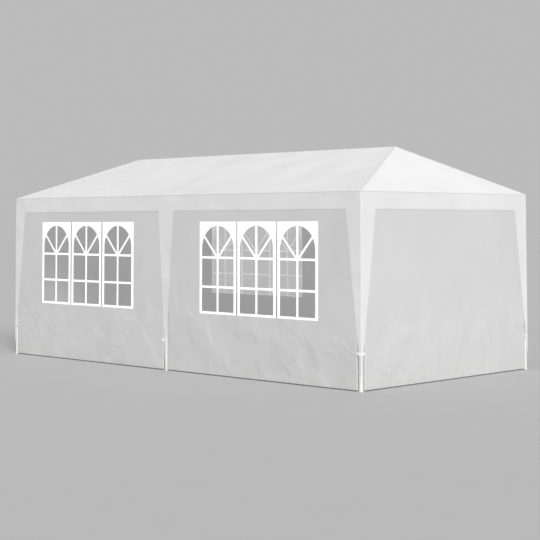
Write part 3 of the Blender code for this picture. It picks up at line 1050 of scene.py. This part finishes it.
class Wall:
    """One hanging wall, addressed by its flat cloth: along runs with +X or +Y, and height from the ground.

    Lift is measured outwards from the cloth's outer face.
    """

    def __init__(self, name, seed):
        low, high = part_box(f"wall_{name}")
        self.name = name
        self.seed = seed
        self.end = name.endswith("_end")
        self.sign = -1 if name.startswith(("front", "left")) else 1
        # Whether each edge, low and high, is beside a corner leg
        self.corners = (self.end or name.endswith("left"), self.end or name.endswith("right"))
        spill = TURN_WIDTH - TURN_RADIUS
        if self.corners[0]:
            self.low = -(FRAME_Y if self.end else FRAME_X) + TURN_PLACE["corner"] - spill
        else:
            self.low = TURN_PLACE["middle"] - spill
        if self.corners[1]:
            self.high = (FRAME_Y if self.end else FRAME_X) - TURN_PLACE["corner"] + spill
        else:
            self.high = -TURN_PLACE["middle"] + spill
        self.bottom, self.top = WALL_FOOT, high.z
        outer = (low, high)[self.sign > 0]
        self.plane = outer.x if self.end else outer.y
        self.outward = np.array((self.sign, 0, 0) if self.end else (0, self.sign, 0), float)
        self.loops = steps(self.low + 0.06, self.high - 0.06, LOOP_PITCH)
        self.window = None
        if not self.end:
            corner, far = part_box(f"window_{name}")
            self.window = (corner.x, far.x, corner.z, far.z)

    def bulge(self, along, height):
        """How far the cloth stands out: close behind the valance and the strips, and slack between them."""
        to_edge = np.minimum(along - self.low, self.high - along)
        free = smoothstep(self.top - height, 0.15, 0.9) * smoothstep(to_edge, 0.1, 0.6)
        waves = (END_WAVES if self.end else SIDE_WAVES) * swell(along, height * 0.5, self.seed, 0.45, 1.8)
        if self.window:
            left, right, sill, head = self.window
            outside = np.maximum.reduce([left - along, along - right, sill - height, height - head])
            waves = waves * (0.35 + 0.65 * smoothstep(outside, 0.0, 0.3))
        return snug(height) + waves * free

    def at(self, along, height, lift=0.0):
        along, height = np.broadcast_arrays(along, height)
        to_edge = np.minimum(along - self.low, self.high - along)
        upper = along > (self.low + self.high) / 2
        way = np.where(upper, 1.0, -1.0)
        near = 1 - smoothstep(to_edge, 0.0, 0.45)
        # Follow the leaning corner legs, and hang in shallow scallops between the ties
        lean = FOOT_SPREAD * (1 - height / FRAME_EAVE) * np.where(upper, *self.corners[::-1])
        pulled = TIE_SCALLOP * between(height, TIE_HEIGHTS)
        # Turn in beside the leg, except under the eave's joint
        most = math.pi / 2 * smoothstep(self.top - height, 0.03, 0.15)
        past = np.maximum(TURN_WIDTH - to_edge, 0)
        turn = np.minimum(past / TURN_RADIUS, most)
        straight = past - TURN_RADIUS * turn
        inward = TURN_RADIUS - (TURN_RADIUS + lift) * np.cos(turn) + straight * np.sin(turn)
        sideways = (TURN_RADIUS + lift) * np.sin(turn) + straight * np.cos(turn) - past
        across = along + way * (near * (lean - pulled) + sideways)
        hang = LOOP_SAG * between(along, self.loops) * (1 - smoothstep(self.top - height, 0.0, 0.12))
        out = self.plane + (self.bulge(along, height) - inward) * self.sign
        high = height - hang
        return np.stack([out, across, high] if self.end else [across, out, high], axis=-1)

    def columns(self, low, high):
        """Places from low to high, about CLOTH_GRID apart, and closer where an edge of the wall turns in."""
        bend = TURN_WIDTH - TURN_RADIUS * math.pi / 2 * np.array((1, 0.75, 0.5, 0.25, 0))
        turned = np.array((0.009, *bend))
        middle = steps(self.low + TURN_WIDTH, self.high - TURN_WIDTH, CLOTH_GRID)
        places = np.unique(np.round(np.concatenate([self.low + turned, middle, self.high - turned]), 6))
        inside = places[(places > low + 0.004) & (places < high - 0.004)]
        return np.array([low, *inside, high])

    def point(self, along, out, height):
        """A point by its distance outwards from the middle of the tent."""
        return (out * self.sign, along, height) if self.end else (along, out * self.sign, height)


def wall_patches(wall):
    if wall.window:
        left, right, sill, head = (
            value + step * WINDOW_LAP for value, step in zip(wall.window, (1, -1, 1, -1))
        )
        across, up = (wall.low, left, right, wall.high), (wall.bottom, sill, head, wall.top)
    else:
        across, up = (wall.low, wall.high), (wall.bottom, wall.top)
    columns = [wall.columns(*ends) for ends in zip(across, across[1:])]
    rows = [steps(*ends, CLOTH_GRID) for ends in zip(up, up[1:])]
    patches = []
    for j, heights in enumerate(rows):
        for i, places in enumerate(columns):
            if wall.window and i == 1 and j == 1:
                continue
            grid = np.broadcast_arrays(places[None, :], heights[:, None])
            patches.append(patch(wall.at(*grid), np.stack(grid, axis=-1)))
    return patches


def loop_patch(wall, along):
    """A band that goes from the wall's top edge over the eave tube and back to the wall's inner face."""
    centre = FRAME_X if wall.end else FRAME_Y
    inner = abs(wall.plane) + snug(FRAME_EAVE) - CLOTH
    round_tube = TUBE_RADIUS + 0.001
    path = [(inner, FRAME_EAVE - LOOP_DROP), (inner, FRAME_EAVE - 0.012)]
    for turn in np.radians(np.linspace(48, 312, 17)):
        path.append((centre + round_tube * math.cos(turn), FRAME_EAVE + round_tube * math.sin(turn)))
    path.append((inner - 0.0008, FRAME_EAVE - 0.03))
    path.append((inner - 0.0008, FRAME_EAVE - LOOP_DROP))
    across = (along - LOOP_HALF_WIDTH, along, along + LOOP_HALF_WIDTH)
    return np.array([[wall.point(place, out, height) for out, height in path] for place in across])


def wall_hems(wall):
    """Patches of the doubled cloth round a wall's four edges, on its inner side."""
    width = np.array((0.0005, HEM_WIDTH / 2, HEM_WIDTH))
    up = steps(wall.bottom + HEM_WIDTH, wall.top - HEM_WIDTH, CLOTH_GRID)
    across = wall.columns(wall.low + 0.0005, wall.high - 0.0005)
    bands = [(across, wall.bottom + width), (across, wall.top - width)]
    bands += [(wall.low + width, up), (wall.high - width, up)]
    return [patch(wall.at(places[None, :], heights[:, None], -CLOTH)) for places, heights in bands]


def make_wall(wall, cloth, tape, thread):
    sheet = sheet_mesh(f"wall_cloth_{wall.name}", wall_patches(wall), CLOTH, cloth)
    hems = wall_hems(wall) + [patch(loop_patch(wall, along)) for along in wall.loops]
    hem = sheet_mesh(f"wall_hems_{wall.name}", hems, TAPE, tape)
    left, right = wall.low + TURN_WIDTH + 0.006, wall.high - TURN_WIDTH - 0.006
    foot, top = wall.bottom + HEM_WIDTH * STITCH_LINE, wall.top - HEM_WIDTH * STITCH_LINE
    seams = [(left, right, foot, top)]
    if wall.window:
        seams.append([value + step * WELT_GAP for value, step in zip(wall.window, (-1, 1, -1, 1))])
    lines = []
    for left, right, foot, top in seams:
        corners = [(left, foot), (right, foot), (right, top), (left, top), (left, foot)]
        sewn = dense(corners, CLOTH_GRID)
        lines.append((wall.at(sewn[:, 0], sewn[:, 1], STITCH_LIFT), wall.outward))
    stitches = sew(f"wall_stitches_{wall.name}", lines, thread)
    for piece in (sheet, hem, stitches):
        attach(piece, "root")
    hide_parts(f"wall_{wall.name}")
    if wall.window:
        left, right, sill, head = wall.window
    return sheet


# Windows: three arched frames printed on one clear film

PANELS = 3
PANEL_GAP = 0.023
STILE = 0.038
CENTRE_BAR = 0.030
TRANSOM = 0.025
TRANSOM_HEIGHTS = (1.330, 0.998)
DIAGONAL = 0.025
BOTTOM_RAIL = 0.027
ARCH_SPRING = 1.432
HUB_HEIGHT = 1.324
DIAGONAL_REACH = 0.222
DIAGONAL_RISE = 0.248
ARCH_STEPS = 28
# How far a bar runs into the frame, and how finely the print is cut to follow the wall's waves
BAR_LAP = 0.01
PRINT_GRID = 0.06
# Thicknesses, and how far outside the wall's outer face the film's outer face and the ink's back lie
FILM, FILM_LIFT = 0.0004, 0.0007
INK, INK_LIFT = 0.0003, 0.0008
FILM_GRID = 0.04


def bar_between(start, end, width):
    """Corners of a flat bar between two points."""
    along = (Vector(end) - Vector(start)).normalized()
    across = Vector((-along.y, along.x)) * width / 2
    return [Vector(start) - across, Vector(end) - across, Vector(end) + across, Vector(start) + across]


def panel_outlines(left, right, sill, head):
    """(solid, opening, bars) of one arched frame, each a list of points in the plane of the wall."""
    centre = (left + right) / 2
    radius = (right - left) / 2 - STILE
    foot = sill + BOTTOM_RAIL
    arch = [
        Vector((centre + radius * math.cos(turn), ARCH_SPRING + radius * math.sin(turn)))
        for turn in np.linspace(0, math.pi, ARCH_STEPS)
    ]
    opening = [Vector((centre - radius, foot)), Vector((centre + radius, foot)), *arch]
    solid = [Vector((left, sill)), Vector((right, sill)), Vector((right, head)), Vector((left, head))]
    bars = [bar_between((centre, foot - BAR_LAP), (centre, ARCH_SPRING + radius + BAR_LAP), CENTRE_BAR)]
    for height in TRANSOM_HEIGHTS:
        ends = (centre - radius - BAR_LAP, height), (centre + radius + BAR_LAP, height)
        bars.append(bar_between(*ends, TRANSOM))
    for side in (-1, 1):
        tip = (centre + side * DIAGONAL_REACH, HUB_HEIGHT + DIAGONAL_RISE)
        bars.append(bar_between((centre, HUB_HEIGHT), tip, DIAGONAL))
    return solid, opening, bars


def printed_frames(wall):
    """Triangles of the three frames, in the plane of the wall, small enough to follow its waves."""
    left, right, sill, head = wall.window
    width = (right - left - (PANELS - 1) * PANEL_GAP) / PANELS
    points, triangles = [], []
    for number in range(PANELS):
        start = left + number * (width + PANEL_GAP)
        solid, opening, bars = panel_outlines(start, start + width, sill, head)
        corners, faces, lines = [], [], []
        for outline in (solid, opening, *bars):
            faces.append(list(range(len(corners), len(corners) + len(outline))))
            corners += outline
        for height in np.arange(sill + PRINT_GRID, head, PRINT_GRID):
            lines.append((len(corners), len(corners) + 1))
            corners += [Vector((start, height)), Vector((start + width, height))]
        for place in np.arange(start + PRINT_GRID, start + width, PRINT_GRID):
            lines.append((len(corners), len(corners) + 1))
            corners += [Vector((place, sill)), Vector((place, head))]
        found, _, made, _, _, within = geometry.delaunay_2d_cdt(corners, lines, faces, 1, 1e-6)
        base = len(points)
        points += [tuple(point) for point in found]
        for face, sources in zip(made, within):
            if (0 in sources and 1 not in sources) or any(source > 1 for source in sources):
                triangles.append([base + corner for corner in face])
    return np.array(points), triangles


def raised_shape(name, wall, points, triangles, lift, thickness, material):
    """A flat cut-out laid on a wall, with its own thickness."""
    mesh = bpy.data.meshes.new(name)
    mesh.from_pydata(wall.at(points[:, 0], points[:, 1], lift).tolist(), [], triangles)
    shape = bmesh.new()
    shape.from_mesh(mesh)
    loose = [vert for vert in shape.verts if not vert.link_faces]
    bmesh.ops.delete(shape, geom=loose, context="VERTS")
    grown = bmesh.ops.extrude_face_region(shape, geom=shape.faces[:], use_keep_orig=True)
    moved = [part for part in grown["geom"] if isinstance(part, bmesh.types.BMVert)]
    bmesh.ops.translate(shape, vec=Vector(wall.outward) * thickness, verts=moved)
    bmesh.ops.recalc_face_normals(shape, faces=shape.faces[:])
    shape.to_mesh(mesh)
    shape.free()
    return link_piece(name, mesh, material)


def make_window(wall, film_material, ink):
    left, right, sill, head = wall.window
    across, up = steps(left, right, FILM_GRID), steps(sill, head, FILM_GRID)
    grid = np.broadcast_arrays(across[None, :], up[:, None])
    flat = patch(wall.at(*grid, FILM_LIFT), np.stack(grid, axis=-1))
    film = sheet_mesh(f"window_film_{wall.name}", [flat], FILM, film_material)
    points, triangles = printed_frames(wall)
    frames = raised_shape(f"window_frames_{wall.name}", wall, points, triangles, INK_LIFT, INK, ink)
    for piece in (film, frames):
        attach(piece, "root")
    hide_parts(f"window_{wall.name}")


# Ties


def tie_knot(centre, size, turn):
    """Path of a small overhand knot."""
    spin = np.linspace(0, 2 * math.pi, 49)[:-1]
    loop = 2 + np.cos(3 * spin)
    flat = np.stack([loop * np.cos(2 * spin), 1.3 * np.sin(3 * spin), loop * np.sin(2 * spin)], axis=1)
    flat = flat * size / 6
    swing = np.array([[math.cos(turn), -math.sin(turn), 0], [math.sin(turn), math.cos(turn), 0], [0, 0, 1]])
    return flat @ swing.T + np.asarray(centre)


def ring(centre, radius, start, end):
    """Points of an arc, with its turns in degrees."""
    turns = np.radians(np.linspace(start, end, 1 + round(abs(end - start) / 10)))
    return [(centre[0] + radius * math.cos(turn), centre[1] + radius * math.sin(turn)) for turn in turns]


def outer_tie_path(height, corner):
    """(x, y) of the lowest tape: over the strip at a corner, and behind the leg in the middle."""
    proud = flare(height) + TIE + 0.0002
    leg_x, leg_y = leg_axis(height)
    if not corner:
        start = [(along, HALF_WIDTH + proud - 0.001) for along in (-0.056, -0.05, -0.043)]
        groove = [(-0.036, HALF_WIDTH - 0.001), (-0.03, HALF_WIDTH - 0.008)]
        return np.array(start + groove + ring((0, leg_y), LEG_RADIUS + TIE + TIE_GAP, 165, 340))
    bend = 0.006 + TIE
    front = [(leg_x - reach, HALF_WIDTH + proud) for reach in (0.036, 0.028, 0.02, 0.01, 0)]
    arc = ring((HALF_LENGTH + proud - bend, HALF_WIDTH + proud - bend), bend, 90, 0)
    end = [(HALF_LENGTH + proud, leg_y - reach) for reach in (0, 0.01, 0.02, 0.028, 0.036)]
    return np.array(front + arc + end)


def inner_tie_path(height, corner):
    """(x, y) of a tape from one wall's turned edge round the inside of the leg to the next wall's."""
    leg_x, leg_y = leg_axis(height) if corner else (0.0, leg_axis(height)[1])
    reach = TURN_PLACE["corner" if corner else "middle"] - 0.002
    around = ring((leg_x, leg_y), LEG_RADIUS + TIE + TIE_GAP, 190, 260 if corner else 350)
    start = [(leg_x - reach, HALF_WIDTH - 0.008), (leg_x - reach + 0.001, HALF_WIDTH - 0.02)]
    end = [(reach - 0.001, HALF_WIDTH - 0.02), (reach, HALF_WIDTH - 0.008)]
    if corner:
        end = [(HALF_LENGTH - 0.02, leg_y - reach + 0.001), (HALF_LENGTH - 0.008, leg_y - reach)]
    return np.array(start + around + end)


def make_ties(tape):
    """Tapes that tie the walls' edges to the legs: the lowest show, with knots, and the others are inside."""
    patches, knots = [], []
    crown = np.array((-0.5, -0.25, 0, 0.25, 0.5))
    for tie_height in TIE_HEIGHTS:
        lowest = tie_height == TIE_HEIGHTS[0]
        depth = LOW_TIE_WIDTH if lowest else TIE_WIDTH
        for sign_y in (-1, 1):
            for sign_x in (-1, 0, 1):
                height = MIDDLE_TIE if lowest and not sign_x else tie_height
                make_path = outer_tie_path if lowest else inner_tie_path
                path = make_path(height, sign_x != 0) * (sign_x or 1, sign_y)
                levels = np.broadcast_to((height + crown * depth)[:, None, None], (5, len(path), 1))
                flat = np.broadcast_to(path, (5, len(path), 2))
                patches.append(patch(np.concatenate([flat, levels], axis=2)))
                if lowest:
                    ends = [(path[2], 1), (path[-3], 0)] if sign_x else [(path[1], 1)]
                    for (x, y), faces_side in ends:
                        out = np.array((0, sign_y) if faces_side else (sign_x, 0)) * 0.002
                        centre = np.array((x + out[0], y + out[1], height))
                        knots += knot_parts(centre, math.pi / 2 if faces_side else 0.0)
    tapes = sheet_mesh("leg_tie_tapes", patches, TIE, tape)
    bows = joined_mesh("leg_tie_knots", knots, tape)
    for piece in (tapes, bows):
        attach(piece, "root")


def knot_parts(centre, turn):
    """A knot in the tape, with its two ends hanging down."""
    parts = [tube_patch(tie_knot(centre, KNOT_SIZE, turn), KNOT_RADIUS, closed=True)]
    across = np.array((math.sin(turn), math.cos(turn), 0.0))
    for side in (-1, 1):
        drop = np.linspace(0, 1, 8)[:, None]
        tail = centre + side * across * (0.003 + 0.003 * drop) + (0, 0, -0.003) - drop * (0, 0, 0.016)
        parts.append(tube_patch(tail, TAIL_RADIUS))
    return parts


def make_eyelets(walls, metal):
    """Metal eyelets for pegs along the lower hem of each wall."""
    points, outward = [], []
    for wall in walls:
        inset = TURN_WIDTH + EYELET_INSET
        for place in steps(wall.low + inset, wall.high - inset, EYELET_PITCH):
            points.append(wall.at(place, wall.bottom + EYELET_RAISE, EYELET_LIFT).tolist())
            outward.append(wall.outward)
    values = {"Hole Radius": EYELET_HOLE, "Rim Radius": EYELET_RIM}
    piece = grow("wall_eyelets", points, [], outward, *EYELETS, values, metal)
    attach(piece, "root")


# The tent

place_camera()
light_stage()
lay_floor(floor_finish())
groups = make_shared_groups()
cover_cloth = cloth_finish("cover_cloth", groups, "cover_wrinkles", 0.885, 0.42)
# The walls are the same white cloth as the cover, given a darker white: painted shade that keeps them dimmer
# than the valance above
wall_cloth = cloth_finish("wall_cloth", groups, "wall_wrinkles", 0.776, 0.44)
sewn_tape = tape_finish("sewn_tape", groups, 0.80, 0.4)
tie_tape = tape_finish("tie_tape", groups, 0.84, 0.25)
sewing_thread = thread_finish()
steel = steel_finish(groups)
plastic = plastic_finish()
STITCHES = stitch_tree()
EYELETS = eyelet_tree()

make_cover(cover_cloth, sewn_tape, sewing_thread)
walls = [Wall(name, 20 + seed) for seed, name in enumerate(WALL_TUBES)]
clear_film = film_finish()
white_ink = print_finish()
for wall in walls:
    hung = make_wall(wall, wall_cloth, sewn_tape, sewing_thread)
    if wall.window:
        make_window(wall, clear_film, white_ink)
make_ties(tie_tape)
make_eyelets(walls, eyelet_finish())
for name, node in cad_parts.items():
    if "tube" in name or name.startswith("leg_"):
        node.material_slots[0].material = steel
    elif "joint" in name:
        node.material_slots[0].material = plastic
